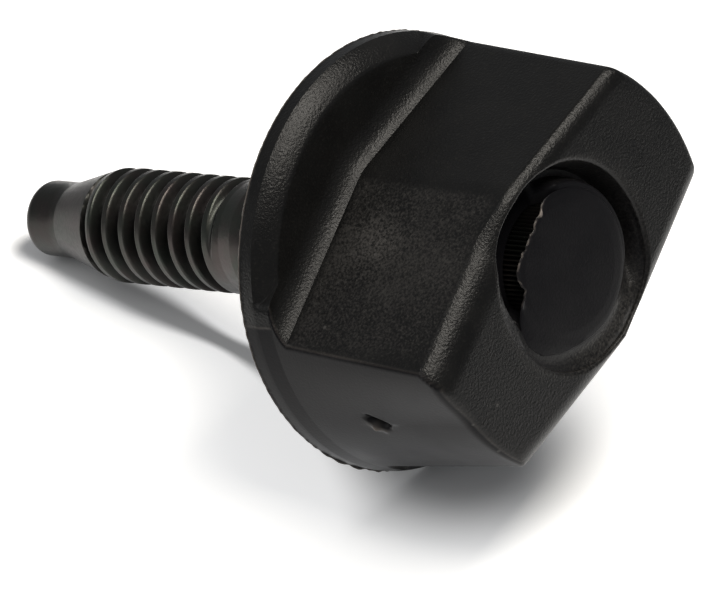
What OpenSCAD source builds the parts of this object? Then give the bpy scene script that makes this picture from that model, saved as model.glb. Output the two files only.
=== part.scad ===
// Thumb knob: a moulded grip and flange around a steel stud with a knurled head.
// It stands on the grip's flat front at z = 0, with the stud's tip straight up, and the bar of
// the grip runs along X. All sizes are in millimetres.

/* [Flange] */
// Diameter of the round flange
flange_d = 23; // [21:0.5:32]
// Thickness of the flange
flange_t = 1.8; // [1.4:0.1:3]
// Rounding of the rim towards the grip
rim_round = 0.9; // [0.3:0.1:1.2]

/* [Grip] */
// Height from the seat of the flange to the front of the grip
head_h = 12.6; // [11:0.2:18]
// Width across the two ridges at the front
grip_w = 12; // [11.4:0.2:15]
// Lean of each flat from its ridge towards the end, in degrees
flat_angle = 9.4; // [4:0.2:14]
// How far the round ends stand back from the edge of the flange
end_step = 0.2; // [0.1:0.05:0.6]
// Mould draft of the flats and ends, in degrees
draft = 4.4; // [1:0.2:6]
// Rounding of the front edges
edge_round = 0.7; // [0.3:0.1:1]
// Radius of the hollow where a flat runs into the flange
root_round = 2; // [1:0.1:2.4]
// Slope at which that hollow breaks off against the flat, in degrees
root_slope = 50; // [30:5:75]

/* [Recess around the stud's head] */
// Land between the mouth of the recess and the ridges
recess_land = 0.6; // [0.3:0.05:0.7]
// Depth of the recess over the boss that holds the stud's head
recess_depth = 0.25; // [0.1:0.05:0.5]
// Thickness of that boss around the head
boss_w = 0.9; // [0.5:0.05:1.1]
// Depth of the moat around the boss
moat_depth = 1.6; // [0.8:0.1:2.4]
// How far the moat's outer wall slopes in
moat_slope = 0.4; // [0.1:0.05:0.6]
// Where the moat starts, counted from the bar of the grip, in degrees
moat_start = 204; // [180:4:220]
// How far it runs around the boss before it is full of plastic, in degrees
moat_turn = 306; // [260:2:330]
// How far the boss is missing at the start of the moat, so that the knurl lies open, in degrees
gap_turn = 96; // [60:4:140]

/* [Stud] */
// Diameter of the plain shank
shank_d = 6.5; // [5:0.05:6.6]
// Outside diameter of the thread
thread_d = 6.18; // [4.8:0.02:6.28]
// Length of the full thread, without its tapered lead
thread_l = 10.7; // [6:0.1:11.5]
// Spacing of the thread's turns
thread_pitch = 1.27; // [0.8:0.01:1.6]
// Depth of the thread below its crests
thread_depth = 0.65; // [0.3:0.05:0.8]
// Length of the stud from the seat to its tip
stud_out = 26.1; // [18:0.5:40]
// Diameter over the knurled head
stud_head_d = 6.9; // [6.9:0.1:7.6]
// Length of the knurled head
stud_head_l = 9; // [4:0.5:10]
// How far the head lies below the front of the grip
stud_head_sink = 0.2; // [0:0.05:0.3]
// Teeth around the knurl
knurl_teeth = 84; // [48:4:96]
// Depth of a knurl tooth
knurl_depth = 0.15; // [0.05:0.05:0.25]
// Length of the taper between the thread and the dog point
lead_l = 3.2; // [2:0.2:5]
// Diameter of the dog point
dog_d = 4.1; // [3:0.1:4.6]
// Length of the dog point
dog_l = 2.4; // [1:0.2:5]
// Rounding at the tip of the dog point
dog_round = 0.5; // [0.1:0.1:0.8]

/* [Moulding] */
// Gap that the plastic leaves around the steel
mould_gap = 0.02; // [0.01:0.01:0.1]

/* [Hidden] */
$fn = 96;
plastic = [0.11, 0.11, 0.115];
steel = [0.34, 0.34, 0.33];
overlap = 0.4;

flange_r = flange_d / 2;
flange_front = head_h - flange_t;
taper = tan(draft);
end_r = flange_r - end_step - flange_front * taper;
flat_reach = grip_w / 2 * cos(flat_angle);
recess_r = grip_w / 2 - recess_land;
head_r = stud_head_d / 2;
shoulder_z = stud_head_sink + stud_head_l;
tip_z = head_h + stud_out;
dog_z = tip_z - dog_l;
lead_z = dog_z - lead_l;
thread_z = lead_z - thread_l;
thread_turns = ceil(thread_l / thread_pitch) - 1;
crest_w = thread_pitch / 5;
root_w = thread_pitch / 5;
flank_w = (thread_pitch - crest_w - root_w) / 2;

// Section of a wall that starts at `reach` on the front plane, widens by the draft and ends in
// the flange. Its front corner is rounded.
module wall_section(reach) {
    base = flange_front + overlap;
    centre_x = reach - edge_round * (1 - sin(draft)) / cos(draft);
    difference() {
        polygon([[0, 0], [reach, 0], [reach + base * taper, base], [0, base]]);
        difference() {
            polygon([
                [centre_x, -1],
                [reach + 1, -1],
                [centre_x + edge_round * cos(draft) + 1, edge_round * (1 - sin(draft)) + taper],
                [centre_x + edge_round * cos(draft), edge_round * (1 - sin(draft))],
                [centre_x, edge_round],
            ]);
            translate([centre_x, edge_round]) circle(edge_round);
        }
    }
}

// Section of the hollow at the foot of a flat: an arc that leaves the flange smoothly and
// breaks off against the flat in a crease.
module root_section(reach) {
    crease_z = flange_front - root_round * (1 - cos(root_slope));
    crease_x = reach + crease_z * taper;
    foot_x = crease_x + root_round * sin(root_slope);
    base = flange_front + overlap;
    difference() {
        polygon([[0, crease_z], [crease_x, crease_z], [foot_x, crease_z], [foot_x, base], [0, base]]);
        translate([foot_x, flange_front - root_round]) circle(root_round);
    }
}

// Everything on the inner side of one flat, with its rounded edge and its foot.
module flat_side() {
    length = 2 * flange_d;
    turn = 90 - flat_angle;
    rotate([0, 0, turn])
        translate([0, length / 2, 0])
            rotate([90, 0, 0])
                linear_extrude(length) {
                    wall_section(flat_reach);
                    root_section(flat_reach);
                    translate([-flange_d, 0]) square([flange_d + 1, flange_front + overlap]);
                }
}

// The bar of the grip: four flats that meet in two ridges, between two round ends.
module grip() {
    intersection() {
        rotate_extrude() wall_section(end_r);
        flat_side();
        mirror([1, 0, 0]) flat_side();
        mirror([0, 1, 0]) flat_side();
        rotate([0, 0, 180]) flat_side();
    }
}

// The flange, square at the seat and rounded towards the grip.
module flange() {
    round_z = flange_front + rim_round;
    rotate_extrude() {
        difference() {
            translate([0, flange_front]) square([flange_r, flange_t]);
            difference() {
                translate([flange_r - rim_round, flange_front - 1]) square([rim_round + 1, rim_round + 1]);
                translate([flange_r - rim_round, round_z]) circle(rim_round);
            }
        }
    }
}

// Section of the moat, from `inner` out to its sloping outer wall.
module moat_section(inner) {
    polygon([[inner, 0], [recess_r, 0], [recess_r - moat_slope, moat_depth], [inner, moat_depth]]);
}

// The moat around the boss of the stud's head. Its first stretch reaches in to the knurl.
module moat() {
    rotate([0, 0, moat_start]) {
        rotate_extrude(angle = moat_turn) moat_section(head_r + boss_w);
        rotate_extrude(angle = gap_turn) moat_section(head_r - overlap);
    }
}

// Room for the stud: the shallow recess, the socket of the head and the bore.
module stud_room() {
    translate([0, 0, -overlap]) cylinder(h = recess_depth + overlap, r = recess_r);
    translate([0, 0, -overlap]) cylinder(h = shoulder_z + overlap, r = head_r + mould_gap);
    cylinder(h = head_h + overlap, r = shank_d / 2 + mould_gap);
}

// The one moulding: grip and flange in a single solid.
module knob_body() {
    color(plastic)
        difference() {
            union() {
                flange();
                grip();
            }
            stud_room();
            moat();
        }
}

// Outline of the straight knurl, tip to tip of the head's diameter.
function knurl_outline() = [
    for (i = [0 : 2 * knurl_teeth - 1])
        let (a = 180 * i / knurl_teeth, r = head_r - (i % 2) * knurl_depth)
            [r * cos(a), r * sin(a)]
];

// Section of the thread's turns, each with a flat crest and root.
function thread_section(crest_r, root_r) = [
    for (i = [0 : thread_turns - 1])
        let (z = thread_z + i * thread_pitch)
            each [
                [crest_r, z],
                [crest_r, z + crest_w],
                [root_r, z + crest_w + flank_w],
                [root_r, z + crest_w + flank_w + root_w],
            ]
];

// Plain shank, turns of the thread as rings, tapered lead and dog point, turned about the axis.
module stud_shank() {
    shank_r = shank_d / 2;
    thread_r = thread_d / 2;
    dog_r = dog_d / 2;
    rotate_extrude()
        difference() {
            polygon([
                [0, shoulder_z - overlap],
                [shank_r, shoulder_z - overlap],
                [shank_r, thread_z - crest_w],
                each thread_section(thread_r, thread_r - thread_depth),
                [thread_r, thread_z + thread_turns * thread_pitch],
                [thread_r, lead_z],
                [dog_r, dog_z],
                [dog_r, tip_z],
                [0, tip_z],
            ]);
            difference() {
                translate([dog_r - dog_round, tip_z - dog_round]) square(dog_round + 1);
                translate([dog_r - dog_round, tip_z - dog_round]) circle(dog_round);
            }
        }
}

// The steel stud in one piece: knurled head, shank and point.
module stud() {
    color(steel)
        union() {
            translate([0, 0, stud_head_sink]) linear_extrude(stud_head_l) polygon(knurl_outline());
            stud_shank();
        }
}

knob_body();
stud();
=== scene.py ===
"""Air cleaner knob as it lies on a pale table: a moulded grip and flange around a threaded steel stud."""
from math import acos, atan2, cos, pi, radians, sin, tan

import bpy
import numpy as np
from mathutils import Matrix, Vector


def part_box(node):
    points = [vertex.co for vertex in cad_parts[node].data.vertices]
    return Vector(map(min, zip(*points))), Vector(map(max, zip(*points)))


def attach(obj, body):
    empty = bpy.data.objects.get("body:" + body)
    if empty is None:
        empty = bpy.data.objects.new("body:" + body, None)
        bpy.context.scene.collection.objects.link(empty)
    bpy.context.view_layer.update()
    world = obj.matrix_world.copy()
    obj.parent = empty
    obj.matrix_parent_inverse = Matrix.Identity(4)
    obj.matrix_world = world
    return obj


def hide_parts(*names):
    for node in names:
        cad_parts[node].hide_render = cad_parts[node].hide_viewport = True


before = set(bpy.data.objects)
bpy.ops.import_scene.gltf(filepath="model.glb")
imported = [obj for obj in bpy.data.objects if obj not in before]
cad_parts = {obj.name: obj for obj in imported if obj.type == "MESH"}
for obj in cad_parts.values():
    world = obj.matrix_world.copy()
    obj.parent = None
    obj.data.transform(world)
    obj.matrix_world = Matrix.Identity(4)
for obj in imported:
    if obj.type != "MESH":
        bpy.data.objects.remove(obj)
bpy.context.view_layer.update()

# Sizes are in millimetres and angles are counted around the axis from +X. A side has its two ends and how
# soft they are, and a fade has where it starts and where it is full.
MM = 0.001

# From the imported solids
body_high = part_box("knob_body")[1]
stud_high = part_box("stud")[1]
head_h = body_high.z / MM
flange_r = body_high.y / MM
tip_z = stud_high.z / MM

# Meshes: sides around the axis, gaps between rings that would meet, and the slope that shades as an edge
body_sides = 640
film_sides = 340
shank_sides = 160
flange_rings = 26
ring_gap = 0.02
ring_climb = 0.001
sharp_angle = radians(32)
merge_step = 0.0005
core_r = 0.05

# Flange: outside a flat front, which has a share of its rings, a bevelled rim falls away in a slight bow.
# The round ends run straight on where their foot comes near the edge. The rows are distances above the seat.
flange_t = 1.8
rim_drop = 0.9
rim_slopes = (radians(30), radians(50))
rim_share = 0.4
end_run = (0.4, 0.16)
back_edge_rows = (0.6, 0.3, 0.1)
fin_row = 0.04
seat_rings = (11.2, 9.5, 7.5, 5.5, 4.0)

# Grip: four drafted flats that meet in two ridges, between round ends, with hollows at the foot
grip_w = 12.0
flat_angle = radians(9.4)
end_step = 0.2
draft = radians(4.4)
edge_slope = radians(57)
edge_round = 1.2
edge_turns = np.linspace(0, edge_slope, 11)
end_edge_round = 0.4
root_round = 2.0
root_slope = radians(50)
ridge_soft = 0.2
corner_soft = 0.34
taper = tan(draft)
flange_front = head_h - flange_t
flat_reach = grip_w / 2 * cos(flat_angle)
end_r = flange_r - end_step - flange_front * taper

# Wear beside the gate: front edges that are rounder, a corner that is fuller; and painted light on the flat
# above the gate
edge_round_worn = 2.3
end_edge_worn = 0.6
worn_in = (radians(152), radians(200))
worn_out = (radians(270), radians(236))
worn_end = (radians(168), radians(225), radians(14))
corner_bulge = 0.8
corner_in = (radians(181), radians(203))
lit_flat_side = (radians(206), radians(266), radians(3))
lit_flat_rows = ((0.6, 1.6), (10.1, 9.7))
lit_patch_angle = radians(239)
lit_patch_z = 7.1
lit_patch_half = (radians(11), 1.6)
lit_flat_least = 0.4

# Recess around the head of the stud, and the sides where its mouth is pulled wide and its bank gets painted
# light
recess_r = 5.36
recess_lip = 0.26
recess_pull = 0.3
pulled_side = (radians(30), radians(95), radians(28))
socket_r = 3.47
bore_r = 3.27
mould_gap = 0.02
moat_z = 1.6
level_lip = 0.1
level_pull = 0.04
ledge_z = 0.22
lip_fade = 0.15
banked_side = (radians(60), radians(138), radians(16))
banked_reach = (4.1, 4.5)
banked_painted_light = 0.62
dusty_reach = (4.3, 4.5)
dusty_scuff = 0.25
# Around the axis the moat is clear, then banked with plastic, level full, and open to the knurl in the gap
bank_from = radians(54)
bank_soft = radians(30)
full_from = radians(150)
full_soft = radians(24)
gap_from = radians(186)
gap_to = radians(299)
gap_soft = radians(9)
ledge_out = (radians(238), radians(226))
ledge_drop = (radians(186), radians(214))
# Sections of these stretches from the socket outwards: distance from the axis and depth below the front
boss_section = ((socket_r, 0.6), (socket_r, 0.27), (4.0, 0.27), (4.22, 0.275), (4.32, 0.3), (4.4, 0.42),
                (4.45, 0.8), (4.48, 1.3), (4.54, 1.55), (4.66, moat_z), (4.86, moat_z), (4.97, 1.5))
bank_section = ((socket_r, 0.6), (socket_r, 0.27), (3.8, 0.265), (3.95, 0.27), (4.06, 0.3), (4.16, 0.34),
                (4.28, 0.39), (4.42, 0.43), (4.58, 0.44), (4.76, 0.43), (4.94, 0.4), (5.12, 0.36))
full_section = ((socket_r, 0.6), (socket_r, 0.26), (4.0, 0.175), (4.3, 0.17), (4.5, 0.17), (4.62, 0.175),
                (4.72, 0.18), (4.82, 0.185), (4.9, 0.19), (4.98, 0.19), (5.06, 0.19), (5.16, 0.19))
gap_section = ((socket_r, 1.8), (socket_r, moat_z), (3.6, moat_z), (3.7, moat_z), (3.8, moat_z),
               (3.9, moat_z), (4.1, moat_z), (4.4, moat_z), (4.6, moat_z), (4.75, moat_z), (4.88, 1.57),
               (4.97, 1.5))
# The gap's last rings where a ledge narrows it: distance from the gap's outer edge and depth
ledge_section = ((-0.2, moat_z), (-0.12, moat_z), (-0.06, 1.3), (-0.02, 0.5), (0.02, 0.26),
                 (0.08, ledge_z))

# Film over the head and the boss; its edge has rows with an inset, a drop and how pale they are if torn
film_z = 0.12
film_bow = 0.02
film_fall = 0.03
film_fold = 0.008
film_fold_half = 0.07
film_back_z = 0.205
film_r = 4.05
film_slope_r = 3.44
film_level_side = (full_from, radians(210), radians(14))
film_rings = (0.2, 1.2, 2.2, 2.9, 3.25, 3.4, 3.48, 3.7, 4.0)
film_back_rings = (3.3, 1.5)
film_edge = ((0.09, -0.01, 0.5), (0.03, 0.0, 1.0), (0.0, 0.035, 1.0), (0.01, 0.07, 0.6), (0.06, 0.085, 0.2))
film_ragged = 0.13
film_torn_in = 0.25
film_inset = 0.1
film_ring_step = 0.012
film_back_inset = 0.2
nub_angle = radians(280)
nub_half = radians(3)
nub_w = 0.12
nub_h = 0.09
# Degrees around the axis and distance from it: torn edge of the film, outer edge of the gap below it
torn_edge = ((118, 4.05), (134, 4.2), (150, 4.55), (162, 4.85), (176, 4.95), (188, 4.7), (195, 4.4),
             (201, 4.0), (210, 3.45), (221, 3.87), (229, 3.92), (248, 3.49), (265, 3.43), (280, 3.72),
             (289, 4.0), (297, 4.05))
gap_edge = ((184, 4.6), (209, 4.97), (225, 5.2), (238, 5.3))

# Stud: the shank narrows to the thread in a neck below and above thread_z, and the thread runs out there
head_r = 3.45
head_top = 0.21
shoulder_z = 9.2
knurl_teeth = 84
knurl_depth = 0.15
shank_r = 3.25
shank_start = 0.4
thread_r = 3.1
thread_pitch = 1.27
thread_depth = 0.68
thread_z = 22.4
thread_rows = 30
thread_low = thread_z - 0.9
neck = (0.8, 0.2)
run_out_z = thread_z + 0.5
run_out_turns = (0.55, 1.4)
crest_share = (0.02, 0.95)
lead_z = 32.6
lead_fade = (1.1, 0.4)
dog_z = 36.3
dog_r = 2.05
dog_round = 0.5
crest_angle = radians(235.6)
crest_z = 32.6
# How much darker the steel is painted off the thread: on the shank beside it, and on the lead and the dog
# point
shank_darkening = 0.6
point_darkening = 0.35
# Section of the head: distance from the axis, height and share of the knurl's depth
head_section = ((core_r, head_top, 0), (2.2, head_top, 0), (head_r - 0.2, head_top, 0),
                (head_r - 0.06, head_top + 0.03, 0.6), (head_r, head_top + 0.12, 1), (head_r, 2.4, 1),
                (head_r, shoulder_z, 1), (3.0, shoulder_z, 0))

# Traces of the mould: the end with the gate and the seam around it are at -X
gate_angle = radians(181.8)
gate_z = 6.44
gate_slant = radians(37.16)
gate_rows = np.linspace(-0.85, 0.85, 21) + gate_z
pit_half = (0.62, 0.26)
pit_shift = 0.12
pit_depth = 0.55
flap_half = (0.5, 0.2)
flap_shift = (0.05, -0.42)
flap_h = 0.22
flap_pale = 0.45
seam_half = radians(29.5)
seam_flare = radians(2.5)
flare_from = 10.0
flare_run = 1.5
seam_w = 0.05
seam_h = 0.025
seam_slope = radians(24)
seam_pale = 0.12
seam_soft = 0.04
corner_rise = 1.47
off_seam = 4.0
fin_root = 0.06
fin_back = 0.6
fin_pale = 0.35
flash_h = 0.12
flash_side = (radians(140), radians(163), radians(5))

# The table touches the flange's rim and the tip of the stud
rest_angle = radians(116.3)
table_half = 0.06

# Camera over the table; it aims at a place in the knob's own frame, and its distance is in metres
camera_elevation = radians(34.9)
camera_heading = radians(130.7)
camera_distance = 0.4168
camera_aim = Vector((-2.15, 1.45, 14.58)) * MM
lens_mm = 396.7
sensor_mm = 36.0

# The table fades to white away from the knob's footprint, in millimetres from a line below its axis
footprint_z = 7.5
footprint_shift = 0.6
footprint_run = 30.0
footprint_head = 5.8
footprint_tip = 1.0
fade_start = 0.45
fade_full = 1.7
fade_glow = 0.55
shank_narrowing = 3.5
shank_least = 0.1
tip_from = (0.5, 0.75)

# Colours of the plastic, the steel and the table
plastic_tones = ((0.0036, 0.0035, 0.0034), (0.0058, 0.0056, 0.0053))
smooth_tone = (0.0048, 0.0046, 0.006)
fleck_tone = (0.03, 0.028, 0.024)
dust_and_painted_light_tone = (0.062, 0.058, 0.054)
speck_tone = (0.12, 0.115, 0.11)
torn_tone = (0.3, 0.26, 0.23)
steel_tones = ((0.044, 0.049, 0.042), (0.055, 0.046, 0.044))
painted_shade_tone = (0.012, 0.012, 0.013)
table_tone = (0.9, 0.9, 0.9, 1)


def soft_min(a, b, width):
    """The smaller of two values, with a rounded change-over."""
    near = np.clip(width - np.abs(a - b), 0, None) / width
    return np.minimum(a, b) - near * near * width / 4


def smooth_step(low, high, value):
    """0 below low, 1 above high and a soft ramp between them."""
    share = np.clip((value - low) / (high - low), 0, 1)
    return share * share * (3 - 2 * share)


def turn_from(angle, centre):
    """Signed angle from a centre, between -pi and pi."""
    return np.angle(np.exp(1j * (angle - centre)))


def ragged(angle, seed, lowest, highest):
    """An uneven curve around the axis, between 0 and 1."""
    draw = np.random.default_rng(seed)
    total = np.zeros_like(angle)
    for wave in range(lowest, highest):
        total += draw.normal() * np.sin(wave * angle + draw.uniform(0, 2 * pi))
    return 0.5 + 0.5 * np.tanh(total / np.sqrt(highest - lowest))


def gathered_angles(count, centres, weight, spread):
    """Angles once around the axis, closer together near the centres."""
    fine = np.linspace(0, 2 * pi, 20 * count, endpoint=False)
    density = np.ones_like(fine)
    for centre in centres:
        density += weight * np.exp(-(turn_from(fine, centre) / spread) ** 2)
    share = np.cumsum(density) / density.sum()
    return np.interp(np.arange(count) / count, share - share[0], fine)


def ring_points(radius, height, angles):
    """One ring of points about the axis."""
    around = np.ones_like(angles)
    return np.column_stack([radius * np.cos(angles), radius * np.sin(angles), height * around])


def ring_faces(rings, count, first=0, closed=False):
    """Quads between neighbouring rings; a closed loft joins its last ring to its first."""
    faces = []
    spot = np.arange(count)
    after = (spot + 1) % count
    for k in range(rings if closed else rings - 1):
        here = first + k * count
        there = first + (k + 1) % rings * count
        faces.append(np.column_stack([here + spot, here + after, there + after, there + spot]))
    return np.concatenate(faces)


def make_piece(name, shape, material, node):
    """A finished piece in place of a CAD node, with its masks kept on the points."""
    points, faces, masks = shape
    mesh = bpy.data.meshes.new(name)
    mesh.from_pydata((points * MM).tolist(), [], [list(map(int, face)) for face in faces])
    for mask, values in masks.items():
        mesh.attributes.new(mask, "FLOAT", "POINT").data.foreach_set("value", values.astype(np.float32))
    mesh.materials.append(material)
    mesh.shade_smooth()
    mesh.set_sharp_from_angle(angle=sharp_angle)
    piece = bpy.data.objects.new(name, mesh)
    bpy.context.scene.collection.objects.link(piece)
    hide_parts(node)
    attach(piece, "root")


# Moulded body


def grip_outline(angles, flat, end):
    """Radius of the grip's outline: four flats that meet in soft ridges, between round ends."""
    fold = np.arcsin(np.abs(np.sin(angles)))
    normal = pi / 2 - flat_angle
    near = flat / np.cos(fold - normal)
    far = flat / np.maximum(np.cos(fold - pi + normal), 0.05)
    return soft_min(soft_min(near, far, ridge_soft), end, corner_soft)


def seam_distance(angles, flat, end, front):
    """Distance past the seam, below zero on the gated end. front is the same at its front edge."""
    fold = np.arcsin(np.abs(np.sin(angles)))
    side = (end - flat / np.cos(fold - pi / 2 + flat_angle)) / corner_rise
    side = np.where(np.cos(angles) < 0, side, off_seam)
    return np.maximum(side, front)


def gate_mark(angles, radius, height):
    """Torn gate: a slanting pit with a flap left below it. Returns its height and how torn it is."""
    across = turn_from(angles, gate_angle) * radius
    along = height - gate_z
    run = -sin(gate_slant) * across - cos(gate_slant) * along
    width = cos(gate_slant) * across - sin(gate_slant) * along
    pit = np.exp(-(run / pit_half[0]) ** 4 - ((width - pit_shift) / pit_half[1]) ** 4)
    flap_run = (run - flap_shift[0]) / flap_half[0]
    flap_width = (width - flap_shift[1]) / flap_half[1]
    uneven = 0.6 + 0.4 * np.sin(9 * run + 1.5)
    flap = uneven * np.exp(-flap_run ** 4 - flap_width ** 2)
    return flap_h * flap - pit_depth * pit, flap_pale * flap


def edge_radius(angles):
    """Radius of the front edge along the flats; it is largest at the worn corner beside the gate."""
    worn = smooth_step(*worn_out, angles) * smooth_step(*worn_in, angles)
    return edge_round + (edge_round_worn - edge_round) * worn


def edge_start(angles):
    """Reach of the flats at which their front edge starts to fall away."""
    radius = edge_radius(angles)
    crease_z = radius * (1 - cos(edge_slope))
    return flat_reach + crease_z * taper - radius * sin(edge_slope)


def front_drop(radius, angles):
    """How far the front has fallen away at a distance from the axis."""
    fold = np.arcsin(np.abs(np.sin(angles)))
    past = radius * np.cos(fold - pi / 2 + flat_angle) - edge_start(angles)
    edge = edge_radius(angles)
    past = np.clip(past, 0, edge * sin(edge_slope))
    return edge - np.sqrt(edge ** 2 - past ** 2)


def end_reach(angles, height):
    """Radius of the round ends: draft, rounded front edge and the fuller corner by the gate."""
    worn = stretch(angles, *worn_end)
    edge = end_edge_round + (end_edge_worn - end_edge_round) * worn
    left = np.clip(edge - height, 0, None)
    rounding = edge - np.sqrt(edge ** 2 - left ** 2)
    corner = smooth_step(*corner_in, angles) * (angles < 1.5 * pi)
    return end_r + height * taper - rounding + corner_bulge * corner * (1 - height / flange_front)


def wall_rings(angles):
    """Rings from the front edge to the flange: height, reach of the flats and ends, place above the seam."""
    rings = []
    edge = edge_radius(angles)
    crease_z = edge * (1 - cos(edge_slope))
    for a in edge_turns:
        z = edge * (1 - cos(a))
        flat = edge_start(angles) + edge * sin(a)
        rings.append((z, flat, end_reach(angles, z), edge * (seam_slope - a)))
    root_crease = flange_front - root_round * (1 - cos(root_slope))
    above_gate = [crease_z + (gate_rows[0] - crease_z) * share ** 1.8 for share in np.linspace(0, 1, 15)[1:]]
    below_gate = np.linspace(gate_rows[-1], root_crease, 7)[1:]
    for z in (*above_gate, *gate_rows[1:], *below_gate):
        rings.append((z, flat_reach + z * taper, end_reach(angles, z), -1.0))
    crease = flat_reach + root_crease * taper
    for a in np.linspace(root_slope, 0, 15)[1:]:
        z = flange_front - root_round * (1 - cos(a))
        out = root_round * (sin(root_slope) - sin(a))
        rings.append((z, crease + out, end_reach(angles, z), -1.0))
    return rings


def flange_ring(foot, share, side_r):
    """A ring on the flange, a share of the way from the foot of the grip to the edge, over front and rim.

    The walls of the grip cut into the bevel, and the round ends run straight on to the flange's edge."""
    first, last = rim_slopes
    bow = rim_drop / (cos(first) - cos(last))
    land_end = side_r - bow * (sin(last) - sin(first))
    bevel_r = np.maximum(land_end, foot + ring_gap)
    start = np.arcsin(np.clip(sin(first) + (bevel_r - land_end) / bow, sin(first), sin(last)))
    on_land = min(share / rim_share, 1.0)
    on_rim = max((share - rim_share) / (1 - rim_share), 0.0)
    turn = start + (last - start) * on_rim
    height = bow * (cos(first) - np.cos(turn)) * on_land
    radius = land_end + bow * (np.sin(turn) - sin(first))
    radius = np.where(share < rim_share, foot + (bevel_r - foot) * on_land, radius)
    straight = foot + (side_r - foot) * height / rim_drop
    ends = smooth_step(side_r - end_run[0], side_r - end_run[1], foot)
    return radius + (straight - radius) * ends, flange_front + height


def stretch(angles, start, end, soft):
    """1 between two angles around the axis, with soft ends."""
    off_middle = np.abs(turn_from(angles, (start + end) / 2))
    return smooth_step((end - start) / 2 + soft, (end - start) / 2 - soft, off_middle)


def recess_rings(angles):
    """Rings from the socket of the head over the boss and the moat to the mouth of the recess."""
    gap = stretch(angles, gap_from, gap_to, gap_soft)
    lower_half = angles < (gap_from + gap_to) / 2
    full = smooth_step(full_from - full_soft, full_from + full_soft, angles) * lower_half * (1 - gap)
    bank = smooth_step(bank_from - bank_soft, bank_from + bank_soft, angles) * lower_half * (1 - full - gap)
    ledge = smooth_step(*ledge_out, angles) * gap
    shares = (1 - gap - full - bank, bank, full, gap - ledge, ledge)
    dropped = smooth_step(*ledge_drop, angles)
    edge_turn, edge_reach = np.array(gap_edge).T
    edge_r = np.interp(np.degrees(angles), edge_turn, edge_reach)
    on_ledge = list(gap_section[:-len(ledge_section)])
    on_ledge += [(edge_r + out, ledge_z + (z - ledge_z) * dropped) for out, z in ledge_section]
    rings = []
    for places in zip(boss_section, bank_section, full_section, gap_section, on_ledge):
        radius = sum(share * place[0] for share, place in zip(shares, places))
        height = sum(share * place[1] for share, place in zip(shares, places))
        rings.append((radius, height))
    level = full + ledge
    mouth_r = recess_r + recess_pull * stretch(angles, *pulled_side) - level_pull * full
    lip_z = recess_lip * (1 - level) + level_lip * level
    foot_r, foot_z = rings[-1]
    for share in np.linspace(0, 1, 7)[1:]:
        rings.append((foot_r + (mouth_r - foot_r) * share, foot_z + (lip_z - foot_z) * share))
    for a in np.linspace(0, pi / 2, 7)[1:]:
        rings.append((mouth_r + recess_lip * (1 - cos(a)), lip_z * (1 - sin(a))))
    return rings


def painted_light_on_flat(angles, height):
    """Where the flat above the gate is painted lighter, as painted light: all over, and most in one patch.
    """
    flat = stretch(angles, *lit_flat_side)
    for low, high in lit_flat_rows:
        flat = flat * smooth_step(low, high, height)
    across = turn_from(angles, lit_patch_angle) / lit_patch_half[0]
    along = (height - lit_patch_z) / lit_patch_half[1]
    return flat * (lit_flat_least + (1 - lit_flat_least) * np.exp(-across ** 2 - along ** 2))


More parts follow.
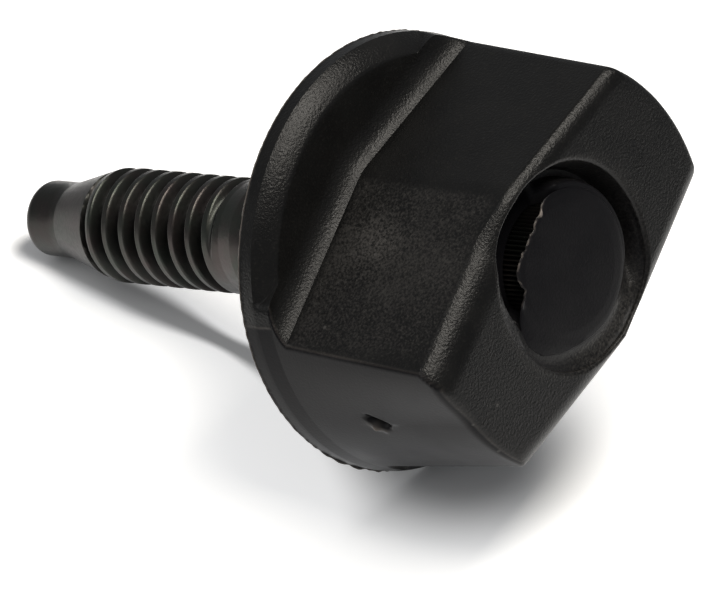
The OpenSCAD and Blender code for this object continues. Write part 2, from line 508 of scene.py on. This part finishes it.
def moulded_body():
    """The moulding: recess, front, drafted walls, hollows, flange with its flash, seat and bore."""
    corner = pi / 2 - flat_angle - acos(flat_reach / end_r) + radians(1)
    corners = [corner, pi - corner, pi + corner, -corner]
    angles = gathered_angles(body_sides, corners + [gate_angle], weight=2.2, spread=radians(5))
    rows = []

    def row(radius, height, seam=off_seam, torn=0.0, smooth=0.0, dust_and_painted_light=0.0):
        rows.append(np.broadcast_arrays(radius + 0 * angles, height, seam, torn, smooth, dust_and_painted_light))

    # recess, from the socket of the head out to the lip
    recess = recess_rings(angles)
    for k, (radius, height) in enumerate(recess):
        # The lower bank is painted paler, as painted light; the rest of the outer wall gets pale dust
        banked = stretch(angles, *banked_side) * smooth_step(*banked_reach, radius)
        dusty = dusty_scuff * smooth_step(*dusty_reach, radius) * (1 - banked)
        smooth = min(1.0, lip_fade * (len(recess) - 1 - k)) * (1 - banked) * (1 - 2 * dusty)
        row(radius, height + front_drop(radius, angles), smooth=smooth, dust_and_painted_light=banked_painted_light * banked + dusty)
    lip_end = recess[-1][0]

    # front face, walls and hollows
    walls = wall_rings(angles)
    rounded = [grip_outline(angles, flat, end) for z, flat, end, front in walls]
    front_edge = np.maximum(rounded[0], lip_end + ring_gap)
    for share in np.linspace(0, 1, 8)[1:-1]:
        radius = lip_end + (front_edge - lip_end) * share
        row(radius, front_drop(radius, angles))
    edge_end = rounded[len(edge_turns) - 1]
    for k, ((z, flat, end, front), radius) in enumerate(zip(walls, rounded)):
        radius = np.maximum(radius, front_edge + ring_climb * k)
        z = np.maximum(z, front_drop(radius, angles) * (radius < edge_end))
        seam = seam_distance(angles, flat, end, front)
        push, torn = gate_mark(angles, radius, z)
        gated = np.cos(angles) < 0
        # Painted light on the flat above the gate
        dust_and_painted_light = painted_light_on_flat(angles, z)
        row(radius + np.where(gated, push, 0), z, seam, np.where(gated, torn, 0), dust_and_painted_light=dust_and_painted_light)

    # flange, with flash at its square back edge
    foot = np.maximum(rounded[-1], front_edge)
    side_r = flange_r - fin_root
    off_gate = np.abs(turn_from(angles, pi))
    for share in np.linspace(0, 1, flange_rings + 1)[1:]:
        radius, height = flange_ring(foot, share, side_r)
        half = seam_half + seam_flare * (radius - flare_from) / flare_run
        row(radius, height, radius * (off_gate - half))
    seam = side_r * (off_gate - seam_half - seam_flare)
    fin = fin_root * ragged(angles, seed=4, lowest=20, highest=150)
    fin = fin + flash_h * stretch(angles, *flash_side) * ragged(angles, seed=6, lowest=20, highest=60)
    for above_seat in back_edge_rows:
        row(side_r, head_h - above_seat, seam)
    row(side_r + fin, head_h - fin_row, seam, torn=fin_pale)
    row(side_r + fin_back * fin, head_h, seam, torn=fin_pale)
    for radius in (*seat_rings, bore_r):
        row(radius, head_h)
    row(bore_r, shoulder_z + mould_gap)
    row(socket_r, shoulder_z + mould_gap)

    radius, height, seam, torn, smooth, dust_and_painted_light = (np.array([ring[k] for ring in rows]) for k in range(6))
    seam_line = np.exp(-(seam / seam_w) ** 2)
    seam_line = seam_line * (0.4 + 0.6 * ragged(angles, seed=9, lowest=30, highest=140))
    radius = radius + seam_h * seam_line * (height > ring_gap)
    points = np.stack([radius * np.cos(angles), radius * np.sin(angles), height], -1).reshape(-1, 3)
    masks = {"smooth": np.maximum(smooth, smooth_step(seam_soft, -seam_soft, seam)),
             "torn": np.maximum(torn, seam_pale * seam_line),
             "dust_and_painted_light": dust_and_painted_light}
    faces = ring_faces(len(rows), len(angles), closed=True)
    return points, faces, {name: mask.reshape(-1) for name, mask in masks.items()}


def film_reach(angles):
    """Outline of the plastic film over the head of the stud, torn above the gap, and how torn it is."""
    turn, reach = np.array(torn_edge).T
    reach = np.interp(np.degrees(angles), turn, reach)
    torn = smooth_step(film_r, film_r - film_torn_in, reach)
    return reach + torn * film_ragged * (ragged(angles, seed=21, lowest=16, highest=70) - 0.5), torn


def film_height(radius, angles):
    """Depth of the film's top: bowed a little over the head, with a faint fold and a fall over the boss."""
    level = film_z + film_bow * (radius / film_slope_r) ** 2
    over_boss = np.clip((radius - film_slope_r) / (film_r - film_slope_r), 0, 1)
    fall = film_fall * over_boss ** 3 * (1 - stretch(angles, *film_level_side))
    fold = film_fold * smooth_step(-film_fold_half, film_fold_half, radius - film_slope_r)
    return level + fall + fold


def torn_film():
    """The thin film over the head and its boss; it runs into the boss except where it is torn."""
    angles = gathered_angles(film_sides, [radians(230), radians(275)], weight=2.0, spread=radians(28))
    reach, torn = film_reach(angles)
    nub = np.exp(-(turn_from(angles, nub_angle) / nub_half) ** 2)
    rows = []
    for k, radius in enumerate(film_rings):
        radius = np.minimum(radius, reach - film_inset - film_ring_step * (len(film_rings) - k))
        rows.append((radius, film_height(radius, angles), 0.0))
    top = film_height(reach, angles)
    for k, (inset, drop, edge) in enumerate(film_edge):
        widened = nub_w * nub if k == 0 else 0.0
        rows.append((reach - inset - widened, top + drop - nub_h * nub * edge, edge))
    for radius in film_back_rings:
        rows.append((np.minimum(reach - film_back_inset, radius), film_back_z, 0.0))
    points = np.concatenate([ring_points(radius, height, angles) for radius, height, edge in rows])
    pale = 0.04 + 0.3 * smooth_step(0.35, 0.8, ragged(angles, seed=33, lowest=8, highest=40))
    broken = torn * np.maximum(nub, pale)
    edges = np.concatenate([broken * edge for radius, height, edge in rows])
    count = len(angles)
    faces = ring_faces(len(rows), count).tolist()
    faces.append(list(range(count)))
    faces.append(list(range((len(rows) - 1) * count, len(rows) * count)))
    return points, faces, {"smooth": np.ones(len(points)), "torn": edges, "dust_and_painted_light": 0 * edges}


def joined(*shapes):
    """Several shapes as one: their points, faces and masks."""
    points = []
    faces = []
    masks = {}
    start = 0
    for shape_points, shape_faces, shape_masks in shapes:
        points.append(shape_points)
        faces += [[corner + start for corner in face] for face in shape_faces]
        for name, mask in shape_masks.items():
            masks.setdefault(name, []).append(mask)
        start += len(shape_points)
    return np.concatenate(points), faces, {name: np.concatenate(parts) for name, parts in masks.items()}


# Steel stud


def knurled_head():
    """Head of the stud: straight knurl with a narrow chamfer at its face."""
    count = 4 * knurl_teeth
    angles = np.arange(count) / count * 2 * pi
    tooth = np.abs(turn_from(knurl_teeth * angles, 0)) / pi
    rows = [(radius - cut * knurl_depth * tooth, height) for radius, height, cut in head_section]
    points = np.concatenate([ring_points(radius, height, angles) for radius, height in rows])
    faces = ring_faces(len(rows), count).tolist()
    faces.append(list(range(count)))
    faces.append(list(range((len(rows) - 1) * count, len(rows) * count)))
    # The knurl's grooves carry painted shade
    return points, faces, {"painted_shade_and_darkening": np.concatenate([tooth] * len(rows))}


def thread_cut(angles, height):
    """Depth of the right-hand thread below its crests, as a share from 0 at a crest to 1 in a root."""
    phase = (height - crest_z) / thread_pitch - (angles - crest_angle) / (2 * pi)
    off_crest = np.abs(phase - np.round(phase)) * 2
    return smooth_step(*crest_share, off_crest)


def thread_surface(angles, height):
    """Radius of the shank, the thread with its run-out and its tapered lead, and how much it is painted
    darker.
    """
    turns = (height - run_out_z) / thread_pitch + angles / (2 * pi)
    share = thread_cut(angles, height) * smooth_step(*run_out_turns, turns)
    share = share * smooth_step(lead_z + lead_fade[0], lead_z + lead_fade[1], height)
    outside = np.interp(height, [thread_z - neck[0], thread_z + neck[1], lead_z, dog_z],
                        [shank_r, thread_r, thread_r, dog_r])
    root = thread_r - thread_depth
    radius = np.minimum(outside, shank_r - (shank_r - root) * share)
    radius = np.maximum(radius, np.minimum(outside, root))
    return radius, np.maximum(share, point_darkening * smooth_step(thread_r, thread_r - 0.2, outside))


def merged(points, faces, mask):
    """The same shape with points that lie on each other made one, and faces of no area left out."""
    places = np.round(points / merge_step).astype(np.int64)
    kept, first, number = np.unique(places, axis=0, return_index=True, return_inverse=True)
    number = number.reshape(-1)
    whole = []
    for face in faces:
        corners = list(dict.fromkeys(int(number[corner]) for corner in face))
        if len(corners) > 2:
            whole.append(corners)
    return points[first], whole, mask[first]


def threaded_shank():
    """Shank, thread, lead and dog point. The rows of the thread climb with its helix."""
    count = shank_sides
    angles = np.arange(count) / count * 2 * pi
    step = thread_pitch / thread_rows
    climbing = int(np.ceil((dog_z - thread_low + thread_pitch) / step)) + thread_rows + 2
    turn, row = np.meshgrid(angles, np.arange(climbing))
    height = thread_low + row * step + (turn / (2 * pi) - 1) * thread_pitch
    height = np.clip(height, thread_low, dog_z)
    radius, darkening = thread_surface(turn, height)
    thread = np.stack([radius * np.cos(turn), radius * np.sin(turn), height], -1).reshape(-1, 3)

    here = np.arange(climbing - 1 - thread_rows)[:, None] * count + np.arange(count)
    after = here + 1
    after[:, -1] += (thread_rows - 1) * count
    faces = np.stack([here, after, after + count, here + count], -1).reshape(-1, 4).tolist()

    plain = [(shank_r, z) for z in np.linspace(shoulder_z - shank_start, thread_low, 10)]
    point = [(dog_r, z) for z in (dog_z, dog_z + 0.6, tip_z - dog_round - 0.05)]
    for a in np.linspace(0, pi / 2, 8)[:-1]:
        point.append((dog_r - dog_round * (1 - cos(a)), tip_z - dog_round * (1 - sin(a))))
    point += [(dog_r - dog_round, tip_z), (core_r, tip_z)]
    points = [thread]
    darkenings = [darkening.reshape(-1)]
    start = len(thread)
    # The plain shank and the point are painted darker all over
    for rings, cap, share in ((plain, 0, shank_darkening), (point, len(point) - 1, point_darkening)):
        points += [ring_points(ring_r, z, angles) for ring_r, z in rings]
        darkenings.append(np.full(len(rings) * count, share))
        faces += ring_faces(len(rings), count, start).tolist()
        faces.append(list(range(start + cap * count, start + (cap + 1) * count)))
        start += len(rings) * count
    points, faces, painted_shade_and_darkening = merged(np.concatenate(points), faces, np.concatenate(darkenings))
    return points, faces, {"painted_shade_and_darkening": painted_shade_and_darkening}


# Shaders


def add_node(tree, kind, **values):
    """A shader node with some of its sockets set by name."""
    made = tree.nodes.new("ShaderNode" + kind)
    for name, value in values.items():
        made.inputs[name.replace("_", " ")].default_value = value
    return made


def new_group(name, inputs, outputs):
    """An empty shader group with number sockets, and its two ends."""
    group = bpy.data.node_groups.new(name, "ShaderNodeTree")
    for label, value in inputs.items():
        socket = group.interface.new_socket(label, in_out="INPUT", socket_type="NodeSocketFloat")
        socket.default_value = value
    for label in outputs:
        group.interface.new_socket(label, in_out="OUTPUT", socket_type="NodeSocketFloat")
    return group, group.nodes.new("NodeGroupInput"), group.nodes.new("NodeGroupOutput")


def place_group(tree, group, **values):
    """A group placed in a material with its own values."""
    made = tree.nodes.new("ShaderNodeGroup")
    made.node_tree = group
    for name, value in values.items():
        made.inputs[name.replace("_", " ")].default_value = value
    return made


def calculate(tree, operation, first, second):
    """A math node between two sockets or numbers. Returns its output."""
    made = tree.nodes.new("ShaderNodeMath")
    made.operation = operation
    for socket, value in zip(made.inputs, (first, second)):
        if isinstance(value, (int, float)):
            socket.default_value = value
        else:
            tree.links.new(value, socket)
    return made.outputs[0]


def remap(tree, value, low, high, to_low, to_high, step="SMOOTHSTEP"):
    """A change of a socket from one range to another, held at its ends. Returns its output."""
    made = add_node(tree, "MapRange", From_Min=low, From_Max=high, To_Min=to_low, To_Max=to_high)
    made.interpolation_type = step
    tree.links.new(value, made.inputs["Value"])
    return made.outputs["Result"]


def mix_colours(tree, share, first, second):
    """A colour mix; each colour is a socket or plain numbers. Returns its output."""
    made = tree.nodes.new("ShaderNodeMix")
    made.data_type = "RGBA"
    for name, kind, value in (("Factor", "VALUE", share), ("A", "RGBA", first), ("B", "RGBA", second)):
        socket = next(s for s in made.inputs if s.name == name and s.type == kind)
        if isinstance(value, tuple):
            socket.default_value = (*value, 1)
        else:
            tree.links.new(value, socket)
    return next(s for s in made.outputs if s.type == "RGBA")


def grain_group():
    """Fine grain of a worn surface: its height, its light flecks, its patches and a mottle."""
    group, start, end = new_group("surface_grain", {"Scale": 8000, "Patches": 400},
                                  ["Height", "Fleck", "Patch", "Mottle"])
    place = group.nodes.new("ShaderNodeTexCoord")
    grain = add_node(group, "TexNoise", Detail=2.0, Roughness=0.6)
    patch = add_node(group, "TexNoise", Detail=3.0, Roughness=0.55)
    for noise, socket in ((grain, "Scale"), (patch, "Patches")):
        group.links.new(place.outputs["Object"], noise.inputs["Vector"])
        group.links.new(start.outputs[socket], noise.inputs["Scale"])
    group.links.new(grain.outputs["Fac"], end.inputs["Height"])
    group.links.new(remap(group, grain.outputs["Fac"], 0.55, 0.78, 0.0, 1.0), end.inputs["Fleck"])
    group.links.new(remap(group, patch.outputs["Fac"], 0.3, 0.7, 0.0, 1.0), end.inputs["Patch"])
    # The mottle breaks up the dust and the painted light on the plastic
    worn = calculate(group, "MULTIPLY", patch.outputs["Fac"], 0.3)
    worn = calculate(group, "ADD", grain.outputs["Fac"], worn)
    group.links.new(remap(group, worn, 0.45, 0.9, 0.0, 1.0), end.inputs["Mottle"])
    return group


def dust_group():
    """Sparse specks of dust."""
    group, start, end = new_group("surface_dust", {"Scale": 900, "Size": 0.06}, ["Speck"])
    place = group.nodes.new("ShaderNodeTexCoord")
    cells = add_node(group, "TexVoronoi", Randomness=1.0)
    group.links.new(place.outputs["Object"], cells.inputs["Vector"])
    group.links.new(start.outputs["Scale"], cells.inputs["Scale"])
    near = calculate(group, "LESS_THAN", cells.outputs["Distance"], start.outputs["Size"])
    tone = group.nodes.new("ShaderNodeSeparateColor")
    group.links.new(cells.outputs["Color"], tone.inputs["Color"])
    rare = calculate(group, "GREATER_THAN", tone.outputs["Red"], 0.8)
    group.links.new(calculate(group, "MULTIPLY", near, rare), end.inputs["Speck"])
    return group


def new_material(name):
    """A material with its node tree and its main shader."""
    material = bpy.data.materials.new(name)
    material.use_nodes = True
    tree = material.node_tree
    return material, tree, tree.nodes["Principled BSDF"]


def point_mask(tree, name):
    """A mask kept on the points of the mesh."""
    made = tree.nodes.new("ShaderNodeAttribute")
    made.attribute_name = name
    return made.outputs["Fac"]


def charcoal_plastic(grain, dust):
    """Grained black moulding: smoother on the gated end and the film, pale where it is torn, with dust and
    painted light.
    """
    material, tree, shader = new_material("charcoal_plastic")
    surface = place_group(tree, grain, Scale=7000, Patches=330)
    specks = place_group(tree, dust, Scale=700, Size=0.07)
    smooth = point_mask(tree, "smooth")
    torn = point_mask(tree, "torn")
    base = mix_colours(tree, surface.outputs["Patch"], *plastic_tones)
    base = mix_colours(tree, calculate(tree, "MULTIPLY", surface.outputs["Fleck"], 0.3), base, fleck_tone)
    # Dust, and painted light on the recess's lower bank and the flat above the gate
    dust_and_painted_light = calculate(tree, "MULTIPLY", point_mask(tree, "dust_and_painted_light"), surface.outputs["Mottle"])
    base = mix_colours(tree, dust_and_painted_light, base, dust_and_painted_light_tone)
    base = mix_colours(tree, calculate(tree, "MULTIPLY", smooth, 0.8), base, smooth_tone)
    base = mix_colours(tree, calculate(tree, "MULTIPLY", specks.outputs["Speck"], 0.3), base, speck_tone)
    base = mix_colours(tree, torn, base, torn_tone)
    tree.links.new(base, shader.inputs["Base Color"])
    gloss = calculate(tree, "SUBTRACT", 0.24, calculate(tree, "MULTIPLY", smooth, 0.12))
    tree.links.new(gloss, shader.inputs["Specular IOR Level"])
    rough = remap(tree, surface.outputs["Patch"], 0.0, 1.0, 0.3, 0.36)
    rough = calculate(tree, "SUBTRACT", rough, calculate(tree, "MULTIPLY", smooth, 0.02))
    tree.links.new(rough, shader.inputs["Roughness"])
    depth = calculate(tree, "SUBTRACT", 1.0, calculate(tree, "MULTIPLY", smooth, 0.75))
    height = calculate(tree, "MULTIPLY", surface.outputs["Height"], depth)
    bump = add_node(tree, "Bump", Strength=0.5, Distance=0.00006)
    tree.links.new(height, bump.inputs["Height"])
    tree.links.new(bump.outputs["Normal"], shader.inputs["Normal"])
    return material


def passivated_steel(grain):
    """Dark steel with a faint green and pink sheen, with painted shade in the grooves, and darker on the
    shank and point.
    """
    material, tree, shader = new_material("passivated_steel")
    surface = place_group(tree, grain, Scale=5000, Patches=520)
    painted_shade_and_darkening = point_mask(tree, "painted_shade_and_darkening")
    tint = mix_colours(tree, surface.outputs["Patch"], *steel_tones)
    # Painted shade in the roots of the thread and knurl, and darkening on the shank and point
    tint = mix_colours(tree, calculate(tree, "MULTIPLY", painted_shade_and_darkening, 0.95), tint, painted_shade_tone)
    tree.links.new(tint, shader.inputs["Base Color"])
    shader.inputs["Metallic"].default_value = 0.9
    rough = remap(tree, surface.outputs["Height"], 0.3, 0.7, 0.3, 0.38)
    tree.links.new(rough, shader.inputs["Roughness"])
    bump = add_node(tree, "Bump", Strength=0.25, Distance=0.00003)
    tree.links.new(surface.outputs["Height"], bump.inputs["Height"])
    tree.links.new(bump.outputs["Normal"], shader.inputs["Normal"])
    return material


def vector_math(tree, operation, first, second):
    """A vector math node between two vectors, each a socket or plain numbers."""
    made = tree.nodes.new("ShaderNodeVectorMath")
    made.operation = operation
    for socket, value in zip(made.inputs, (first, second)):
        if isinstance(value, Vector):
            socket.default_value = value
        else:
            tree.links.new(value, socket)
    return made


def footprint_fade(tree, foot, along):
    """Glow of the table: none below the knob and its stud, and full some way off, further by the head."""
    place = tree.nodes.new("ShaderNodeTexCoord")
    offset = vector_math(tree, "SUBTRACT", place.outputs["Object"], foot).outputs["Vector"]
    run = vector_math(tree, "DOT_PRODUCT", offset, along).outputs["Value"]
    share = remap(tree, run, 0.0, footprint_run * MM, 0.0, 1.0, "LINEAR")
    nearest = tree.nodes.new("ShaderNodeVectorMath")
    nearest.operation = "SCALE"
    nearest.inputs[0].default_value = along * (footprint_run * MM)
    tree.links.new(share, nearest.inputs["Scale"])
    away = vector_math(tree, "DISTANCE", offset, nearest.outputs["Vector"]).outputs["Value"]
    narrowing = calculate(tree, "POWER", calculate(tree, "SUBTRACT", 1.0, share), shank_narrowing)
    below_head = remap(tree, narrowing, 0.0, 1.0, shank_least * MM, footprint_head * MM, "LINEAR")
    below_tip = remap(tree, share, *tip_from, 0.0, footprint_tip * MM)
    reach = calculate(tree, "ADD", below_head, below_tip)
    return remap(tree, calculate(tree, "DIVIDE", away, reach), fade_start, fade_full, 0.0, fade_glow)


def table_white(foot, along):
    """White table top that keeps the shadow; it is see-through from below."""
    material = bpy.data.materials.new("table_white")
    material.use_nodes = True
    tree = material.node_tree
    tree.nodes.clear()
    paper = add_node(tree, "BsdfDiffuse", Color=table_tone)
    glow = tree.nodes.new("ShaderNodeEmission")
    tree.links.new(footprint_fade(tree, foot, along), glow.inputs["Strength"])
    lit = tree.nodes.new("ShaderNodeAddShader")
    tree.links.new(paper.outputs["BSDF"], lit.inputs[0])
    tree.links.new(glow.outputs["Emission"], lit.inputs[1])
    path = tree.nodes.new("ShaderNodeLightPath")
    seen = calculate(tree, "ADD", path.outputs["Is Camera Ray"], path.outputs["Is Glossy Ray"])
    seen = calculate(tree, "ADD", seen, path.outputs["Is Transmission Ray"])
    top = tree.nodes.new("ShaderNodeMixShader")
    tree.links.new(seen, top.inputs["Fac"])
    tree.links.new(paper.outputs["BSDF"], top.inputs[1])
    tree.links.new(lit.outputs["Shader"], top.inputs[2])
    below = tree.nodes.new("ShaderNodeNewGeometry")
    clear = tree.nodes.new("ShaderNodeBsdfTransparent")
    sides = tree.nodes.new("ShaderNodeMixShader")
    tree.links.new(below.outputs["Backfacing"], sides.inputs["Fac"])
    tree.links.new(top.outputs["Shader"], sides.inputs[1])
    tree.links.new(clear.outputs["BSDF"], sides.inputs[2])
    out = tree.nodes.new("ShaderNodeOutputMaterial")
    tree.links.new(sides.outputs["Shader"], out.inputs["Surface"])
    return material


# Table, camera and lights


def table_axes():
    """The table's up, the way the stud points along it, and the way across, as the knob lies on it."""
    lean = atan2(flange_r - dog_r, tip_z - head_h)
    contact = Vector((cos(rest_angle), sin(rest_angle), 0))
    up = Vector((0, 0, -sin(lean))) - contact * cos(lean)
    along = Vector((0, 0, 1)) - up * up.z
    along.normalize()
    return up, along, up.cross(along)


def lay_table(up, along, across):
    """A flat table top that touches the flange's rim and the tip of the stud."""
    touch = Vector((flange_r * cos(rest_angle), flange_r * sin(rest_angle), head_h)) * MM
    mesh = bpy.data.meshes.new("table_top")
    ways = ((-1, -1), (1, -1), (1, 1), (-1, 1))
    corners = [touch + (along * i + across * j) * table_half for i, j in ways]
    mesh.from_pydata(corners, [], [(0, 1, 2, 3)])
    below_head = Vector((0, 0, footprint_z)) * MM
    foot = below_head - up * (below_head - touch).dot(up) + across * (footprint_shift * MM)
    mesh.materials.append(table_white(foot, along))
    table = bpy.data.objects.new("table_top", mesh)
    bpy.context.scene.collection.objects.link(table)


def facing(back, up):
    """Rotation of a camera or lamp that looks against `back`, with its top towards `up`."""
    right = up.cross(back).normalized()
    return Matrix((right, back.cross(right), back)).transposed()


def in_table_terms(up, along, across, heading, elevation):
    """A direction from its heading over the table and its elevation above it."""
    flat = along * cos(heading) + across * sin(heading)
    return flat * cos(elevation) + up * sin(elevation)


def set_camera(up, along, across):
    """The camera at the photograph's viewing angle, level over the table."""
    data = bpy.data.cameras.new("camera")
    data.lens = lens_mm
    data.sensor_width = sensor_mm
    camera = bpy.data.objects.new("camera", data)
    back = in_table_terms(up, along, across, camera_heading, camera_elevation)
    camera.matrix_world = Matrix.Translation(camera_aim + back * camera_distance) @ facing(back, up).to_4x4()
    bpy.context.scene.collection.objects.link(camera)
    bpy.context.scene.camera = camera


def add_softbox(name, axes, heading, elevation, distance, width, depth, power, colour):
    """A soft lamp that faces the knob; its heading in degrees is counted from the camera's."""
    data = bpy.data.lights.new(name, "AREA")
    data.shape = "RECTANGLE"
    data.size = width
    data.size_y = depth
    data.energy = power
    data.color = colour
    lamp = bpy.data.objects.new(name, data)
    back = in_table_terms(*axes, camera_heading + radians(heading), radians(elevation))
    lamp.matrix_world = Matrix.Translation(camera_aim + back * distance) @ facing(back, axes[0]).to_4x4()
    lamp.visible_camera = False
    bpy.context.scene.collection.objects.link(lamp)


def set_light(axes):
    """A dim pale room, a warm strip of light high over the knob, and a weaker lamp on the other side."""
    world = bpy.data.worlds.new("room")
    world.use_nodes = True
    sky = world.node_tree.nodes["Background"]
    sky.inputs["Color"].default_value = (0.95, 0.97, 1.0, 1)
    sky.inputs["Strength"].default_value = 0.26
    bpy.context.scene.world = world
    add_softbox("strip_softbox", axes, heading=62, elevation=73, distance=0.36,
                width=0.26, depth=0.11, power=1.0, colour=(1.0, 0.95, 0.87))
    add_softbox("side_softbox", axes, heading=-60, elevation=40, distance=0.5,
                width=0.4, depth=0.4, power=0.5, colour=(1.0, 1.0, 1.0))


bpy.context.scene.view_settings.view_transform = "Standard"
table_frame = table_axes()
lay_table(*table_frame)
set_camera(*table_frame)
set_light(table_frame)

grain = grain_group()
dust = dust_group()
plastic = charcoal_plastic(grain, dust)
steel = passivated_steel(grain)
make_piece("moulded_grip", joined(moulded_body(), torn_film()), plastic, "knob_body")
make_piece("threaded_stud", joined(knurled_head(), threaded_shank()), steel, "stud")
